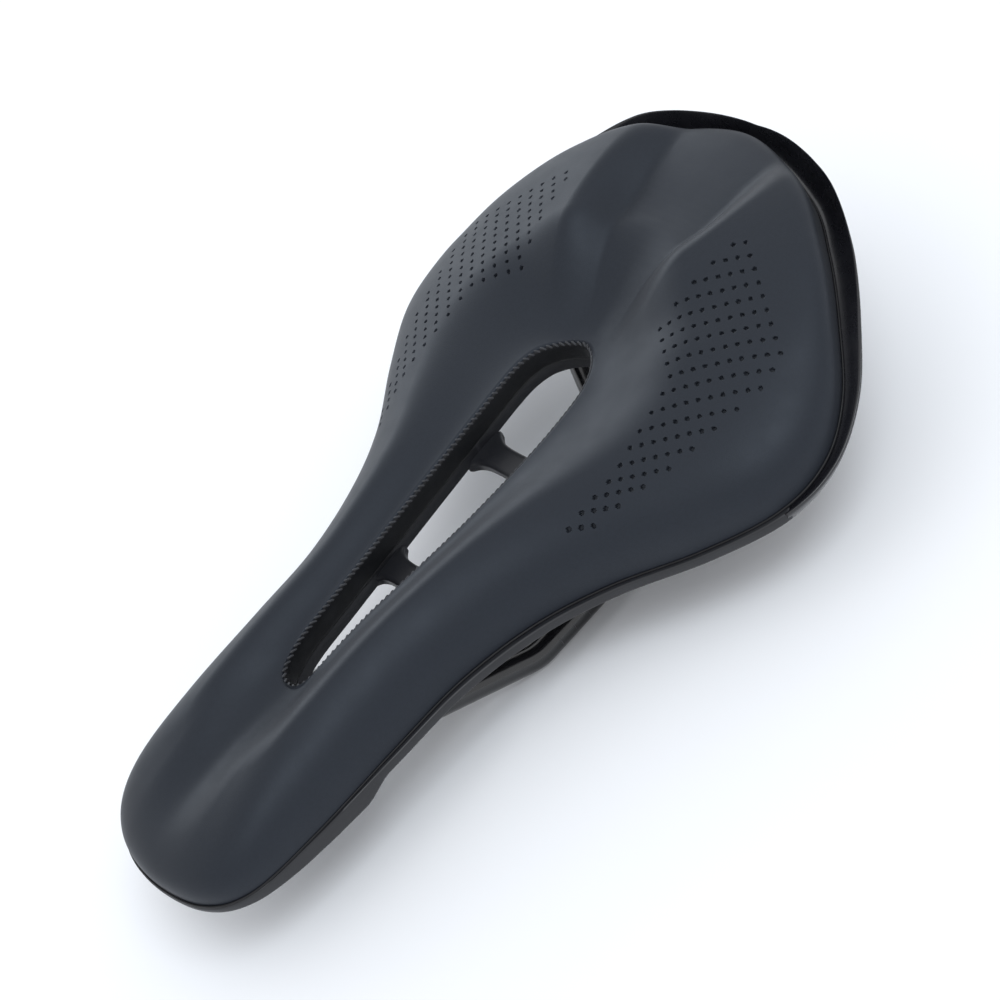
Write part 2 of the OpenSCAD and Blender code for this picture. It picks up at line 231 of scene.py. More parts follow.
def tube(path, radius, sides=24):
    """Round bar along a path, as section loops. Radius may vary along it."""
    path = np.asarray(path, float)
    way = np.gradient(path, axis=0)
    way /= np.linalg.norm(way, axis=1, keepdims=True)
    up = np.array([0.0, 0.0, 1.0]) if abs(way[0][2]) < 0.9 else np.array([1.0, 0, 0])
    turn = np.linspace(0, 2 * math.pi, sides, endpoint=False)
    radius = np.broadcast_to(radius, len(path))
    loops = []
    for p, w, r in zip(path, way, radius):
        side = np.cross(w, up)
        side /= np.linalg.norm(side)
        up = np.cross(side, w)
        loops.append(p + r * (np.cos(turn)[:, None] * side + np.sin(turn)[:, None] * up))
    return np.array(loops)


# ---- materials ---------------------------------------------------------------------

class Look:
    """A node material that gains grain, mottling and painted edge highlights step by step."""

    def __init__(self, name, color, rough, metal=0.0, **sockets):
        self.mat = bpy.data.materials.new(name)
        self.mat.use_nodes = True
        self.nodes = self.mat.node_tree.nodes
        self.links = self.mat.node_tree.links
        self.shader = self.nodes["Principled BSDF"]
        self.color = color
        self.rough = rough
        self.shader.inputs["Base Color"].default_value = (*color, 1)
        self.shader.inputs["Roughness"].default_value = rough
        self.shader.inputs["Metallic"].default_value = metal
        for socket, value in sockets.items():
            self.shader.inputs[socket.replace("_", " ")].default_value = value
        self.place = self.node("ShaderNodeTexCoord").outputs["Object"]
        self.last_bump = None

    def node(self, kind, **values):
        """Adds a node and sets its inputs or its properties."""
        made = self.nodes.new(kind)
        for key, value in values.items():
            if key in made.inputs:
                made.inputs[key].default_value = value
            else:
                setattr(made, key, value)
        return made

    def noise(self, size_mm, detail=4.0, stretch=(1, 1, 1)):
        """Noise with features of about that size."""
        scale = self.node("ShaderNodeMapping")
        scale.inputs["Scale"].default_value = [1000 / size_mm * k for k in stretch]
        self.links.new(self.place, scale.inputs["Vector"])
        made = self.node("ShaderNodeTexNoise", Scale=1.0, Detail=detail)
        self.links.new(scale.outputs["Vector"], made.inputs["Vector"])
        return made.outputs["Fac"]

    def cells(self, size_mm):
        """Cell pattern with cells of about that size."""
        made = self.node("ShaderNodeTexVoronoi", feature="DISTANCE_TO_EDGE",
                         Scale=1000 / size_mm)
        self.links.new(self.place, made.inputs["Vector"])
        return made.outputs["Distance"]

    def ramp(self, source, low, high, at=(0.35, 0.65)):
        """Turns the stretch of values between two limits into another stretch."""
        made = self.node("ShaderNodeMapRange")
        made.inputs["From Min"].default_value = at[0]
        made.inputs["From Max"].default_value = at[1]
        made.inputs["To Min"].default_value = low
        made.inputs["To Max"].default_value = high
        self.links.new(source, made.inputs["Value"])
        return made.outputs["Result"]

    def bump(self, height, distance_mm, strength=1.0):
        """Adds relief on top of the relief that is already there."""
        made = self.node("ShaderNodeBump", Strength=strength, Distance=distance_mm * MM)
        self.links.new(height, made.inputs["Height"])
        if self.last_bump:
            self.links.new(self.last_bump, made.inputs["Normal"])
        self.last_bump = made.outputs["Normal"]
        self.links.new(self.last_bump, self.shader.inputs["Normal"])
        return self

    def tint(self, mask, color):
        """Moves the base colour towards another one where the mask is 1."""
        made = self.node("ShaderNodeMix", data_type="RGBA")
        made.inputs[7].default_value = (*color, 1)
        old = self.shader.inputs["Base Color"]
        if old.is_linked:
            self.links.new(old.links[0].from_socket, made.inputs[6])
        else:
            made.inputs[6].default_value = (*self.color, 1)
        self.links.new(mask, made.inputs[0])
        self.links.new(made.outputs[2], old)
        return self

    def uneven(self, size_mm, spread):
        """Roughness that varies over the surface."""
        mask = self.noise(size_mm)
        value = self.ramp(mask, self.rough - spread, self.rough + spread)
        self.links.new(value, self.shader.inputs["Roughness"])
        return self

    def attribute(self, name):
        """Value that the mesh carries at each point."""
        return self.node("ShaderNodeAttribute", attribute_name=name).outputs["Fac"]

    def painted_edge_highlight(self, color, at=(0.53, 0.6)):
        """Painted highlight: lighter along sharp outer edges, as if they caught the light."""
        sharp = self.node("ShaderNodeNewGeometry").outputs["Pointiness"]
        return self.tint(self.ramp(sharp, 0, 0.7, at), color)


def cover_leather():
    """Leather of the cover."""
    look = Look("cover_leather", (0.0105, 0.0128, 0.0185), 0.5, Sheen_Weight=0.03,
                Sheen_Roughness=0.5, Specular_IOR_Level=0.34,
                Specular_Tint=(0.82, 0.9, 1, 1))
    look.tint(look.ramp(look.noise(40, 2), 0, 0.2), (0.0135, 0.0162, 0.022))
    look.tint(look.ramp(look.noise(0.9, 2), 0, 0.25), (0.007, 0.0085, 0.012))
    # painted shade: the middle of each hole is darkened as if in shadow
    look.tint(look.attribute("painted_hole_shade"), (0.004, 0.004, 0.006))
    look.uneven(6, 0.02)
    look.bump(look.cells(0.55), 0.05, 0.4)
    look.bump(look.noise(0.25, 3), 0.03, 0.35)
    look.bump(look.noise(7, 2), 0.1, 0.05)
    return look.mat


def liner_leather():
    """Leather of the liner, darker than the cover's: partly its own black, partly painted shade
    inside the opening.
    """
    look = Look("liner_leather", (0.003, 0.0034, 0.0045), 0.5, Specular_IOR_Level=0.3)
    look.tint(look.ramp(look.noise(4, 3), 0, 0.5), (0.006, 0.0065, 0.0085))
    look.uneven(3, 0.07)
    look.bump(look.cells(0.7), 0.06, 0.5)
    look.bump(look.noise(0.3, 3), 0.03, 0.4)
    return look.mat


def thread():
    """Dark sewing thread."""
    look = Look("thread", (0.032, 0.034, 0.041), 0.6, Sheen_Weight=0.15)
    look.tint(look.ramp(look.noise(2.5, 2), 0, 0.7), (0.014, 0.015, 0.019))
    look.bump(look.noise(0.12, 4, (1, 1, 3)), 0.05, 0.8)
    look.uneven(1, 0.08)
    return look.mat


def moulded(name, color, rough, grain=0.35, edge_highlight=0.0):
    """Moulded plastic: fine spark grain, soft sink marks, and sharp edges lightened as a painted
    highlight.
    """
    look = Look(name, color, rough, Specular_IOR_Level=0.5)
    look.tint(look.ramp(look.noise(18, 3), 0, 0.5), tuple(c * 1.5 for c in color))
    look.uneven(7, 0.06)
    look.bump(look.noise(0.35, 4), 0.03, grain)
    look.bump(look.noise(9, 2), 0.1, 0.12)
    # painted highlight: sharp outer edges lightened as if they caught the light
    if edge_highlight:
        look.painted_edge_highlight(tuple(c * 2.6 + 0.01 for c in color))
    return look.mat


def glossy_black():
    """Plastic of the tail bumper."""
    look = Look("bumper_plastic", (0.006, 0.006, 0.008), 0.28,
                Specular_IOR_Level=0.45, Coat_Weight=0.4, Coat_Roughness=0.12)
    look.tint(look.ramp(look.noise(12, 3), 0, 0.5), (0.011, 0.011, 0.014))
    look.uneven(4, 0.05)
    look.bump(look.noise(14, 2), 0.15, 0.08)
    look.bump(look.noise(0.4, 3), 0.01, 0.2)
    return look.mat


def rubber(name, color, rough=0.75):
    """Dull material with a fine grain."""
    look = Look(name, color, rough, Specular_IOR_Level=0.3)
    look.tint(look.ramp(look.noise(3, 4), 0, 0.6), tuple(c * 1.7 for c in color))
    look.bump(look.noise(0.2, 4), 0.03, 0.6)
    look.uneven(2, 0.08)
    return look.mat


def rail_paint():
    """Glossy black coat."""
    look = Look("rail_steel", (0.006, 0.006, 0.007), 0.2, Coat_Weight=0.5,
                Coat_Roughness=0.1, Specular_IOR_Level=0.5)
    look.tint(look.ramp(look.noise(6, 4, (0.3, 1, 1)), 0, 0.6), (0.01, 0.01, 0.012))
    look.uneven(3, 0.05)
    look.bump(look.noise(0.3, 4, (0.4, 1, 1)), 0.02, 0.4)
    return look.mat


def dark_steel():
    """Steel of the screws."""
    look = Look("screw_steel", (0.09, 0.09, 0.095), 0.35, 0.9)
    look.tint(look.ramp(look.noise(1.5, 4), 0, 0.7), (0.05, 0.05, 0.055))
    look.uneven(1, 0.1)
    look.bump(look.noise(0.3, 4, (1, 1, 6)), 0.02, 0.5)
    return look.mat


def brass():
    """Brass of the screw inserts."""
    look = Look("insert_brass", (0.62, 0.45, 0.18), 0.32, 1.0)
    look.tint(look.ramp(look.noise(1.2, 4), 0, 0.6), (0.42, 0.3, 0.12))
    look.uneven(1, 0.08)
    look.bump(look.noise(0.4, 3, (1, 1, 5)), 0.03, 0.5)
    return look.mat


def foam_stuff():
    """Foam with small cells."""
    look = Look("foam", (0.68, 0.64, 0.5), 0.9, Sheen_Weight=0.2)
    look.tint(look.ramp(look.noise(5, 4), 0, 0.6), (0.55, 0.5, 0.38))
    look.bump(look.cells(0.9), 0.2, 0.9)
    look.uneven(3, 0.05)
    return look.mat


def gel_stuff():
    """Blue gel."""
    look = Look("gel", (0.12, 0.25, 0.45), 0.22, Subsurface_Weight=0.3,
                Coat_Weight=0.4, Coat_Roughness=0.2)
    look.tint(look.ramp(look.noise(4, 3), 0, 0.6), (0.16, 0.32, 0.55))
    look.uneven(3, 0.06)
    look.bump(look.noise(3, 2), 0.2, 0.3)
    return look.mat


# ---- perforated cover ---------------------------------------------------------------

# holes on each wing: the first hole of the full row, the step along a row, the
# step from row to row, the first and last hole in each row, and how the rows bend
HOLE_FROM = np.array([-55, 26.3])
HOLE_STEP = np.array([-2.01, 2.18])
ROW_STEP = np.array([2.3, 3.03])
HOLE_ROWS = [(8, 9), (6, 9), (4, 9), (2, 9), (0, 9), (0, 9), (0, 9), (0, 9), (0, 9),
             (-1, 8), (-2, 7), (-3, 5), (-4, 3), (-5, 1), (-6, -1), (-7, -3),
             (-8, -5), (-9, -7)]
FULL_ROW = 4
ROW_BEND_X = [(0, 0.1), (9, 0.3), (11, 1.8), (17, 3.4)]
ROW_BEND_Y = [(0, 0.4), (2, 0.8), (9, 0.7), (13, -1), (14, -2), (17, -7.3)]
HOLE_R = 0.52
HOLE_DEPTH = 0.7
# points this close to a hole's rim or foot are pulled onto it
HOLE_SNAP = 0.13
# the foot, and the middle that gets painted shade, as shares of the hole's radius
HOLE_FOOT = 0.82
HOLE_SHADE = 0.6


def hole_centres():
    """Centres of the holes on the left wing."""
    for row, (first, last) in enumerate(HOLE_ROWS):
        bend = np.array([lookup(row, ROW_BEND_X), lookup(row, ROW_BEND_Y)])
        for k in range(first, last + 1):
            yield HOLE_FROM + k * HOLE_STEP + (row - FULL_ROW) * ROW_STEP + bend


def nearest_hole(x, y):
    """Way to each point from its nearest hole."""
    flat = np.stack([x, np.abs(y)], -1)
    way = np.full(flat.shape, np.inf)
    for centre in hole_centres():
        off = flat - centre
        closer = (off ** 2).sum(-1) < (way ** 2).sum(-1)
        way = np.where(closer[..., None], off, way)
    way[..., 1] *= np.where(y < 0, -1, 1)
    return way


def dense_places(count, first, last, weight):
    """Places around the outline, packed closer between first and last on both sides."""
    s = np.linspace(0, AROUND, 4001)
    near = np.minimum(s, AROUND - s)
    pull = 1 + weight * ease((near - first) / 0.5) * ease((last - near) / 0.5)
    walk = np.concatenate([[0], np.cumsum((pull[1:] + pull[:-1]) / 2)])
    return np.interp(np.arange(count) * walk[-1] / count, walk, s)


COVER_T = 1.1
ROUND_COUNT = 1200
RING_COUNT = 256
UNDER_COUNT = 24
# the stretch of outline beside the holes, and how much denser its mesh is
DENSE_FROM = 6.2
DENSE_TO = 13.9
DENSE_WEIGHT = 2.6
# section of the cover's edge where it folds into the opening: inward and up
FOLD_IN = [(-0.4, -2.2), (0.7, -2.2), (0.7, -1.0), (0.62, -0.5), (0.35, -0.15)]
HEM_DROP = -0.15


def normals_of(points):
    """Normals of a grid of points that is closed along its first axis."""
    along = np.roll(points, -1, 0) - np.roll(points, 1, 0)
    across = np.gradient(points, axis=1)
    n = np.cross(along, across)
    n /= np.maximum(np.linalg.norm(n, axis=-1, keepdims=True), 1e-9)
    return n * np.where(n[..., 2:3] < -0.3, -1, 1)


def cover_skin():
    """Cover with its holes pressed in, folded at the opening and hemmed at the seam."""
    v = station(dense_places(ROUND_COUNT, DENSE_FROM, DENSE_TO, DENSE_WEIGHT))[:, None, :]
    even = np.linspace(0, 1, RING_COUNT)
    r = (1 - (1 - even) ** 1.25)[None, :]
    top = pad_point(v, np.broadcast_to(r, (ROUND_COUNT, RING_COUNT)), 0)
    way = nearest_hole(top[..., 0], top[..., 1])
    far = np.linalg.norm(way, axis=-1)
    near = np.abs(far - HOLE_R) < HOLE_SNAP
    aim = np.where(far >= HOLE_R, HOLE_R, HOLE_R * HOLE_FOOT)
    shift = np.where(near, aim / np.maximum(far, 1e-6) - 1, 0)
    top[..., 0:2] += way * shift[..., None]
    inside = far < HOLE_R
    hole_shade_mask = far < HOLE_R * HOLE_SHADE
    top -= normals_of(top) * (inside * HOLE_DEPTH)[..., None]
    fold = np.stack([by_edge(v[:, 0], a, b) for a, b in FOLD_IN], 1)
    under_r = np.linspace(1, 0.02, UNDER_COUNT)[None, :]
    under = pad_point(v, np.broadcast_to(under_r, (ROUND_COUNT, UNDER_COUNT)), COVER_T)
    hem = np.stack([by_seam(v[:, 0], out, HEM_DROP) for out in (0.0, -COVER_T)], 1)
    loops = np.concatenate([fold, top, hem, under], 1)
    piece = make_piece("cover_skin", *ring(loops[:, ::-1]), cover_leather(),
                       ["cover"], "cover_leather", smooth=50)
    # painted shade in the middle of each hole, carried to the cover's material
    painted_hole_shade = np.zeros(loops.shape[:2], np.float32)
    painted_hole_shade[:, fold.shape[1]:fold.shape[1] + RING_COUNT] = hole_shade_mask
    layer = piece.data.attributes.new("painted_hole_shade", "FLOAT", "POINT")
    layer.data.foreach_set("value", painted_hole_shade[:, ::-1].ravel())
    return piece


FOAM_ROUND = 240
FOAM_OVER = 40
FOAM_UNDER = 30
FOAM_UNDER_FROM = 0.96
FOAM_THIN = 0.4


def foam_core():
    """Foam between the cover and the shell."""
    v = station(np.arange(FOAM_ROUND) * AROUND / FOAM_ROUND)[:, None, :]
    d = COVER_T + GAP
    r = np.broadcast_to(np.linspace(0, 1, FOAM_OVER)[None, :], (FOAM_ROUND, FOAM_OVER))
    over = pad_point(v, r, d)
    low = np.broadcast_to(np.linspace(FOAM_UNDER_FROM, 0, FOAM_UNDER)[None, :],
                          (FOAM_ROUND, FOAM_UNDER))
    plan = pad_point(v, low, d)
    foot = np.minimum(shell_top(v, low) + GAP, plan[..., 2] - FOAM_THIN)
    under = np.concatenate([plan[..., 0:2], foot[..., None]], -1)
    piece = make_piece("foam_core", *ring(np.concatenate([over, under], 1)[:, ::-1]),
                       foam_stuff(), ["foam_pad"], "foam")
    return piece


GEL_SIDES = 64
GEL_ROWS = 28
GEL_POLE = 0.02


def gel_cushion(name, node):
    """Crowned disc of gel inside the foam."""
    low, high = (np.array(c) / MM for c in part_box(node))
    centre, size = (low + high) / 2, (high - low) / 2
    turn = np.linspace(0, 2 * math.pi, GEL_SIDES, endpoint=False)
    steepest = math.pi / 2 - GEL_POLE
    loops = []
    for lift in np.linspace(-steepest, steepest, GEL_ROWS):
        wide = size[0] * abs(math.cos(lift)) ** 0.35
        high_at = size[2] * math.copysign(abs(math.sin(lift)) ** 0.8, lift)
        loops.append(np.stack([centre[0] + wide * np.cos(turn),
                               centre[1] + wide * np.sin(turn),
                               np.full(GEL_SIDES, centre[2] + high_at)], -1))
    piece = make_piece(name, *strip(np.array(loops)[:, ::-1]), gel_stuff(), [node], "gel")
    return piece


# ---- base shell -----------------------------------------------------------------------

SHELL_T = 3
FOAM_T = 12
EDGE_DROP = 6.5
EDGE_H = 4
SHELL_INSET = 3
SHELL_SINK = 0.7
FINE = 480


def shell_plan(v, r):
    """Plan points of the shell: r is 0 at the opening and 1 at its outer edge."""
    way, reach = outward(v)
    return v[..., 3:5] + way * (reach - SHELL_INSET) * np.asarray(r)[..., None]


def shell_top(v, r):
    """Height of the shell's upper face."""
    crown = v[..., 6] - FOAM_T
    top = mix(v[..., 5] - EDGE_DROP, crown, ease(r / 0.5))
    dome = np.maximum(0, 1 - r ** 3) ** (1 / 2.5)
    q = shell_plan(v, r)
    sink = sunk(q[..., 0], q[..., 1]) * SHELL_SINK * (1 - r)
    return np.minimum(v[..., 2] - GAP + (top - v[..., 2]) * dome - sink, crown)


def shell_point(v, r, down):
    """Points of the shell at a depth below its upper face."""
    r = np.full(v.shape[:-1], r)
    return np.concatenate([shell_plan(v, r), (shell_top(v, r) - down)[..., None]], -1)


def to_tail(s):
    """Distance around the outline from the nose, the same on both sides."""
    return np.minimum(s, AROUND - s)


BUMPER_FROM = 9
RIM_H = [(64, 3), (71, 5.4), (92, 4.6), (119, 1.8)]
RIM_REACH = [(60, 2), (100, 1), (119, 0.6)]
# under the tail bumper the rim ends inside the seam; the change starts this far
# past the bumper's end and takes this long, both in knots
RIM_IN_TAIL = -1.2
RIM_FADE = (0.05, 0.2)


def shell_ring():
    """The shell without its bridges and posts."""
    s = np.arange(FINE) * AROUND / FINE
    v = station(s)
    h = lookup(v[:, 0], RIM_H, 1)
    reach = lookup(v[:, 0], RIM_REACH, 5)
    fade = ease((to_tail(s) - BUMPER_FROM - RIM_FADE[0]) / RIM_FADE[1])
    out = mix(reach, RIM_IN_TAIL, fade)
    over = [shell_point(v, r, 0) for r in np.linspace(0, 0.95, 14)]
    rim = [by_seam(v, -2.6, -GAP), by_seam(v, out, -GAP), by_seam(v, out, -h),
           by_seam(v, -3.2, -h)]
    under = [shell_point(v, r, SHELL_T) for r in np.linspace(0.93, 0.06, 13)]
    foot = [shell_point(v, 0, EDGE_H)]
    return ring(rounded(np.stack(over + rim + under + foot, 1), 0.7)[:, ::-1])


BRIDGE_Z = 30.7
# half width and half height in the middle, and what the ends add to them
BRIDGE_WIDE = (3.6, 2.8)
BRIDGE_TALL = (1.75, 0.3)
BRIDGE_SQUARE = 0.55
BRIDGE_ROOT = 0.4
BRIDGE_ROWS = 41
BRIDGE_SIDES = 32


def squared(wave):
    """Turns a circle's cosine or sine into that of a rounded square."""
    return np.sign(wave) * np.abs(wave) ** BRIDGE_SQUARE


def bridge(x, half):
    """Bar across the opening that spreads into the walls at both ends."""
    y = np.linspace(-half, half, BRIDGE_ROWS)
    share = np.clip(np.abs(y) / (half - BRIDGE_ROOT), 0, 1)
    wide = BRIDGE_WIDE[0] + BRIDGE_WIDE[1] * share ** 5
    tall = BRIDGE_TALL[0] + BRIDGE_TALL[1] * share ** 5
    turn = np.linspace(0, 2 * math.pi, BRIDGE_SIDES, endpoint=False)
    loops = np.stack([x + wide[:, None] * squared(np.cos(turn)),
                      np.broadcast_to(y[:, None], (BRIDGE_ROWS, BRIDGE_SIDES)),
                      BRIDGE_Z + tall[:, None] * squared(np.sin(turn))], -1)
    return strip(loops)


BOSS_RADII = [4.1, 4.5, 4.5, 4.7]
BOSS_SIDES = 40


def boss(x, y, foot, top):
    """Tapered post over a screw insert."""
    z = np.array([foot, foot + 0.4, foot + 1.5, top])
    radius = np.array(BOSS_RADII)[:, None]
    turn = np.linspace(0, 2 * math.pi, BOSS_SIDES, endpoint=False)
    loops = np.stack([x + radius * np.cos(turn), y + radius * np.sin(turn),
                      np.broadcast_to(z[:, None], (len(z), BOSS_SIDES))], -1)
    return strip(loops)


# x and half length of each bridge, and x, y, foot and top of each post on the left
BRIDGES = [(-14.5, 13.3), (24, 10.4)]
NOSE_BOSSES = [(69, 0, 25, 28), (83, 0, 25, 28)]
REAR_BOSSES = [(-75, 30.4, 39.3, 44.5), (-75, 47, 39.3, 42.6)]


def base_shell():
    """Moulded shell with its bridges and the posts for the screws."""
    parts = [shell_ring()]
    parts += [bridge(x, half) for x, half in BRIDGES]
    parts += [boss(*place) for place in NOSE_BOSSES]
    parts += [boss(x, side * y, foot, top) for side in (1, -1)
              for x, y, foot, top in REAR_BOSSES]
    return make_piece("shell_moulding", *joined(parts),
                      moulded("shell_plastic", (0.009, 0.0095, 0.012), 0.4, edge_highlight=1),
                      ["base_shell"], "shell_plastic")


LIP_OUT = [(9, 2.2), (10.5, 3.6), (11.5, 5.1), (13, 6.9), (14, 6), (15, 3.3)]
LIP_UP = [(9, -0.3), (11.5, 0.2), (12.3, 1), (13, 3), (13.5, 5.4), (14, 7.4),
          (14.5, 6.4), (15, 4.4)]
# the bumper's foot under the shell: how far in, and its lower and upper face
FOOT_IN = -5
FOOT_LOW = -4.6
FOOT_HIGH = -3.5
LIP_INNER = -0.9


def tail_bumper():
    """Lip around the tail that flares up at its rear corners."""
    s = np.linspace(BUMPER_FROM, AROUND - BUMPER_FROM, 260)
    v = station(s)
    w = lookup(to_tail(s), LIP_OUT, 0.3)
    f = lookup(to_tail(s), LIP_UP, 0.25)
    loops = np.stack([
        by_seam(v, LIP_INNER, -GAP), by_seam(v, w * 0.3, -0.6),
        by_seam(v, w * 0.65, mix(-GAP, f, 0.3)), by_seam(v, w, f),
        by_seam(v, w + 0.1, f - 0.8), by_seam(v, w * 0.6, -3),
        by_seam(v, 0, FOOT_LOW), by_seam(v, FOOT_IN, FOOT_LOW),
        by_seam(v, FOOT_IN, FOOT_HIGH), by_seam(v, LIP_INNER, FOOT_HIGH)], 1)
    return make_piece("tail_lip", *strip(rounded(loops, 1.2, 5)[:, ::-1]), glossy_black(),
                      ["tail_bumper"], "bumper_plastic")


def edge_bead():
    """Cord along the seam between cover and shell."""
    v = station(np.arange(FINE) * AROUND / FINE)
    loops = np.stack([by_seam(v, 0.12, 0.3), by_seam(v, 0.55, 0.25),
                      by_seam(v, 0.6, -0.28), by_seam(v, 0.12, -0.28)], 1)
    return make_piece("edge_cord", *ring(rounded(loops, 0.35)[:, ::-1]),
                      rubber("bead_rubber", (0.006, 0.006, 0.007), 0.45),
                      ["edge_bead"], "bead_rubber")


# ---- lined opening and its stitching -----------------------------------------------------

# section of the liner: inward from the opening's edge, and up
LINER_SHAPE = [(0.75, -0.4), (1.05, -0.6), (1.3, -1.2), (1.45, -2.2), (1.45, -3.6),
               (1.3, -5.2), (1.0, -6.2), (0.4, -6.2), (0.72, -3)]


def liner():
    """Leather band that lines the opening, sloping in below the stitches."""
    v = station(np.arange(FINE) * AROUND / FINE)
    loops = np.stack([by_edge(v, a, b) for a, b in LINER_SHAPE], 1)
    return make_piece("opening_liner", *ring(rounded(loops, 0.4, 3)), liner_leather(),
                      ["cutout_liner"], "liner_leather")


STITCHES = 144
STITCH_L = 1.35
STITCH_R = 0.27
# the line along which stitches are spaced: inward from the edge, and up
STITCH_LINE = (0.72, -0.1)


def stitching():
    """Slanted stitches over the joint between cover and liner."""
    s = np.linspace(0, AROUND, 3001)
    line = by_edge(station(s), *STITCH_LINE)
    walk = np.concatenate([[0], np.cumsum(np.linalg.norm(np.diff(line, axis=0), axis=1))])
    parts = []
    for k in range(STITCHES):
        middle = walk[-1] * k / STITCHES
        t = np.linspace(-1, 1, 9)
        at = np.interp((middle + t * STITCH_L / 2) % walk[-1], walk, s)
        across = 0.85 - 0.3 * t
        rise = -0.62 + 0.42 * t + 0.08 * (1 - t * t)
        path = by_edge(station(at), across, rise)
        fat = STITCH_R * np.sqrt(np.maximum(0.15, 1 - t ** 6))
        parts.append(strip(tube(path, fat, 10)[:, ::-1]))
    return make_piece("opening_stitches", *joined(parts), thread(),
                      ["cutout_thread"], "thread")


# ---- rails ---------------------------------------------------------------------------------

RAIL_R = 3.5
CLAMP_Y = 22
RAIL_PATH = [(86, 9, 19), (60, 13.5, 18.8), (16, CLAMP_Y, RAIL_R),
             (-50, CLAMP_Y, RAIL_R), (-62, 37, 31), (-84.5, 39.5, 33.4)]
BENDS = [0, 30, 15, 10, 14, 0]
BORE_R = 2.3
BORE_DEPTH = 10
RAIL_SIDES = 48
RAIL_STEP = 1.5
BEND_POINTS = 20
END_POINTS = 12


def unit(v):
    """The same direction with length 1."""
    return v / np.linalg.norm(v)


def rail_line(side):
    """Centreline of a rail, with its bends drawn as arcs."""
    p = np.array(RAIL_PATH, float) * [1, side, 1]
    line = [p[0]]
    for i in range(1, len(p) - 1):
        u, w = unit(p[i] - p[i - 1]), unit(p[i + 1] - p[i])
        turn = math.acos(u @ w)
        x = -unit(w - u * (u @ w))
        c = p[i] - u * BENDS[i] * math.tan(turn / 2) - x * BENDS[i]
        start = line[-1]
        first = c + x * BENDS[i]
        steps = max(2, int(np.linalg.norm(first - start) / RAIL_STEP))
        line += [start + (first - start) * k / steps for k in range(1, steps)]
        line += [c + (x * math.cos(t) + u * math.sin(t)) * BENDS[i]
                 for t in np.linspace(0, turn, BEND_POINTS)]
    start = line[-1]
    line += [start + (p[-1] - start) * k / END_POINTS for k in range(1, END_POINTS + 1)]
    return np.array(line)


def rail(side, name, node):
    """Drawn bar with bored ends."""
    line = rail_line(side)
    outside = tube(line, RAIL_R, RAIL_SIDES)
    ends = [unit(line[1] - line[0]), unit(line[-2] - line[-1])]
    mouths = []
    for way, lip in zip(ends, (outside[0], outside[-1])):
        middle = lip.mean(0)
        bore = middle + (lip - middle) * BORE_R / RAIL_R
        mouths.append([middle + (lip - middle) * 0.97 - way * 0.1, bore - way * 0.1,
                       bore + way * BORE_DEPTH])
    loops = np.concatenate([mouths[0][::-1], outside, mouths[1]])
    verts, faces = strip(loops)
    return make_piece(name, verts, [f[::-1] for f in faces], rail_paint(),
                      [node], "rail_steel")


TICKS_X = range(-40, 11, 5)
TICK_SWEEPS = (22, 14)
TICK_LEAN = 10
TICK_POINTS = 13
TICK_R = 0.09


def scale_ticks(side, name):
    """Printed lines on the outer face of a rail's clamp length."""
    parts = []
    for k, x in enumerate(TICKS_X):
        sweep = TICK_SWEEPS[k % 2]
        turn = np.radians(np.linspace(-sweep, sweep, TICK_POINTS) + TICK_LEAN)
        path = np.stack([np.full(TICK_POINTS, float(x)),
                         side * (CLAMP_Y + RAIL_R * np.cos(turn)),
                         RAIL_R + RAIL_R * np.sin(turn)], -1)
        parts.append(strip(tube(path, TICK_R, 6)[:, ::-1]))
    look = Look(name, (0.07, 0.07, 0.08), 0.5)
    look.tint(look.ramp(look.noise(1, 3), 0, 0.6), (0.04, 0.04, 0.045))
    look.bump(look.noise(0.2, 3), 0.02, 0.4)
    return make_piece(name, *joined(parts), look.mat, slot="rail_steel")


# ---- CAD nodes that keep their own shape -------------------------------------------------------

def finish_node(node, mat, bevel_mm=0.0):
    """Gives a CAD node its material and, where it is moulded, softened edges."""
    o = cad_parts[node]
    if not o.material_slots:
        o.data.materials.append(mat)
    for slot in o.material_slots:
        slot.material = mat
    if bevel_mm:
        soft = o.modifiers.new("softened_edges", "BEVEL")
        soft.width = bevel_mm * MM
        soft.segments = 3
        soft.limit_method = "ANGLE"
        soft.angle_limit = math.radians(50)
        soft.harden_normals = True


def hardware():
    """Materials of the blocks, sleeves, caps and fasteners, with their bevels in mm."""
    block = moulded("block_plastic", (0.01, 0.01, 0.012), 0.45, grain=0.6, edge_highlight=1)
    sleeve = rubber("sleeve_rubber", (0.016, 0.016, 0.016))
    steel = dark_steel()
    cap = rubber("cap_rubber", (0.01, 0.01, 0.01))
    for node in ("nose_block", "rear_block_left", "rear_block_right"):
        finish_node(node, block, 0.8)
    for node in ("nose_sleeves", "rear_sleeve_left", "rear_sleeve_right"):
        finish_node(node, sleeve)
    finish_node("rail_end_caps", cap, 0.3)
    for node in ("nose_block_screws", "rear_block_screws", "tail_bumper_screws"):
        finish_node(node, steel, 0.2)
    finish_node("screw_inserts", brass(), 0.1)


# ---- floor, lights and camera ---------------------------------------------------------------------

FLOOR_HALF = 60


def floor():
    """Plain pale floor under the saddle, wide enough to reach the horizon."""
    mesh = bpy.data.meshes.new("floor")
    corners = [(FLOOR_HALF * a, FLOOR_HALF * b, 0)
               for a, b in ((-1, -1), (1, -1), (1, 1), (-1, 1))]
    mesh.from_pydata(corners, [], [(0, 1, 2, 3)])
    o = bpy.data.objects.new("floor", mesh)
    bpy.context.scene.collection.objects.link(o)
    look = Look("floor", (0.91, 0.92, 0.94), 0.7, Specular_IOR_Level=0.2)
    look.tint(look.ramp(look.noise(300, 2), 0, 0.2), (0.88, 0.89, 0.92))
    mesh.materials.append(look.mat)


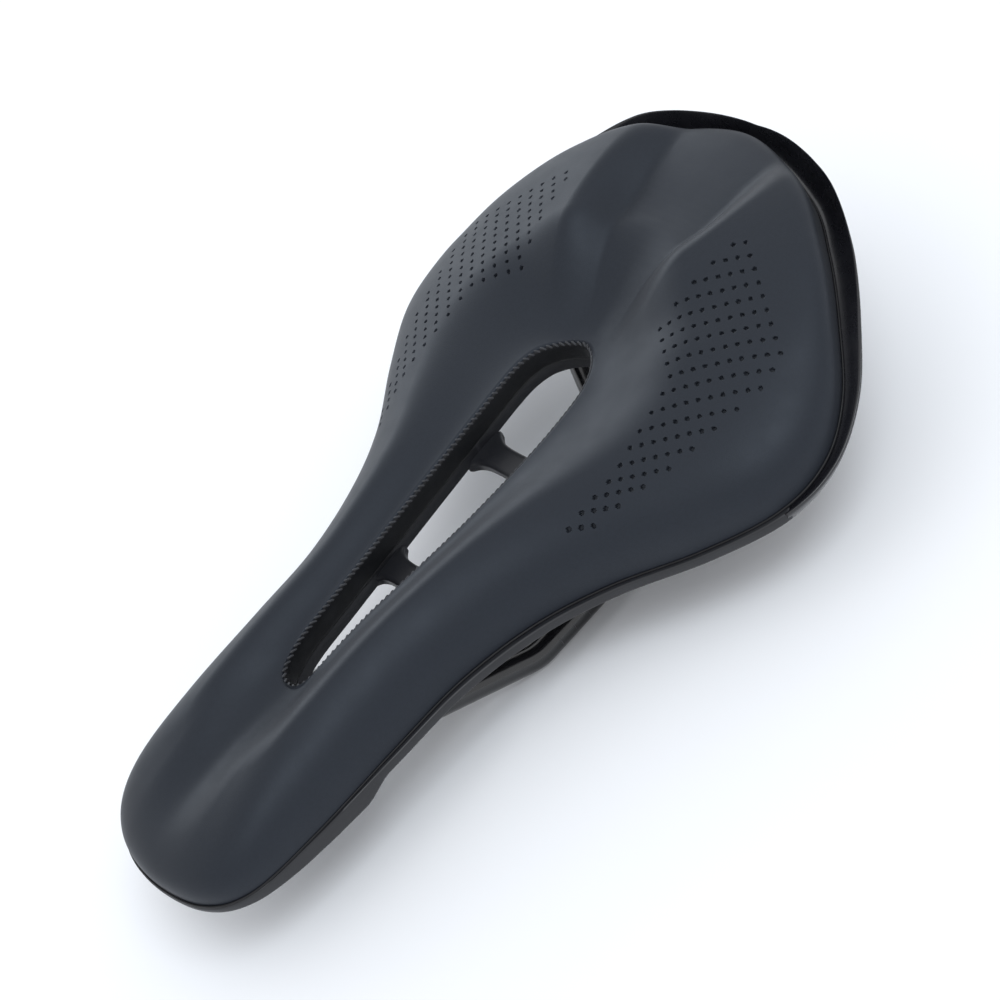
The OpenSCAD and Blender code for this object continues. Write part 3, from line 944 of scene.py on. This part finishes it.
def softbox(name, place, aim, size, power, tint):
    """Square-on rectangular light: places and size in metres, power in watts."""
    light = bpy.data.lights.new(name, "AREA")
    light.shape = "RECTANGLE"
    light.size, light.size_y = size
    light.energy = power
    light.color = tint
    o = bpy.data.objects.new(name, light)
    bpy.context.scene.collection.objects.link(o)
    o.location = place
    way = Vector(aim) - Vector(place)
    o.rotation_euler = way.to_track_quat("-Z", "Y").to_euler()


def lighting():
    """Even white surroundings with a low light behind and a high one in front."""
    world = bpy.data.worlds.new("studio")
    bpy.context.scene.world = world
    world.use_nodes = True
    sky = world.node_tree.nodes["Background"]
    sky.inputs["Color"].default_value = (0.96, 0.975, 1, 1)
    sky.inputs["Strength"].default_value = 0.95
    softbox("key", (-0.3, -1.5, 0.6), (0, 0, 0.03), (1.3, 0.6), 5.5, (0.84, 0.92, 1))
    softbox("fill", (-0.1, 0.75, 1.35), (0, 0, 0.04), (0.8, 0.6), 7, (0.88, 0.94, 1))


# the camera: its place in metres, and the directions of the picture's right and down
CAMERA_PLACE = Vector((0.1312, 0.4488, 0.4322))
CAMERA_RIGHT = Vector((-0.6656, 0.6015, -0.4418))
CAMERA_DOWN = Vector((0.7127, 0.3365, -0.6155))
LENS = 90
SENSOR_WIDTH = 36


def camera():
    """Camera of the main view."""
    data = bpy.data.cameras.new("camera")
    data.lens = LENS
    data.sensor_width = SENSOR_WIDTH
    data.clip_start = 0.01
    o = bpy.data.objects.new("camera", data)
    bpy.context.scene.collection.objects.link(o)
    right, up = CAMERA_RIGHT.normalized(), -CAMERA_DOWN.normalized()
    basis = Matrix((right, up, right.cross(up))).transposed()
    o.matrix_world = Matrix.Translation(CAMERA_PLACE) @ basis.to_4x4()
    bpy.context.scene.camera = o


def main():
    """Builds every piece, then the floor, the lights and the camera."""
    cover_skin()
    foam_core()
    gel_cushion("gel_left", "gel_pad_left")
    gel_cushion("gel_right", "gel_pad_right")
    base_shell()
    tail_bumper()
    edge_bead()
    liner()
    stitching()
    rail(1, "rail_bar_left", "rail_left")
    rail(-1, "rail_bar_right", "rail_right")
    scale_ticks(1, "scale_lines_left")
    scale_ticks(-1, "scale_lines_right")
    hardware()
    floor()
    lighting()
    camera()
    bpy.context.scene.view_settings.view_transform = "Standard"


main()
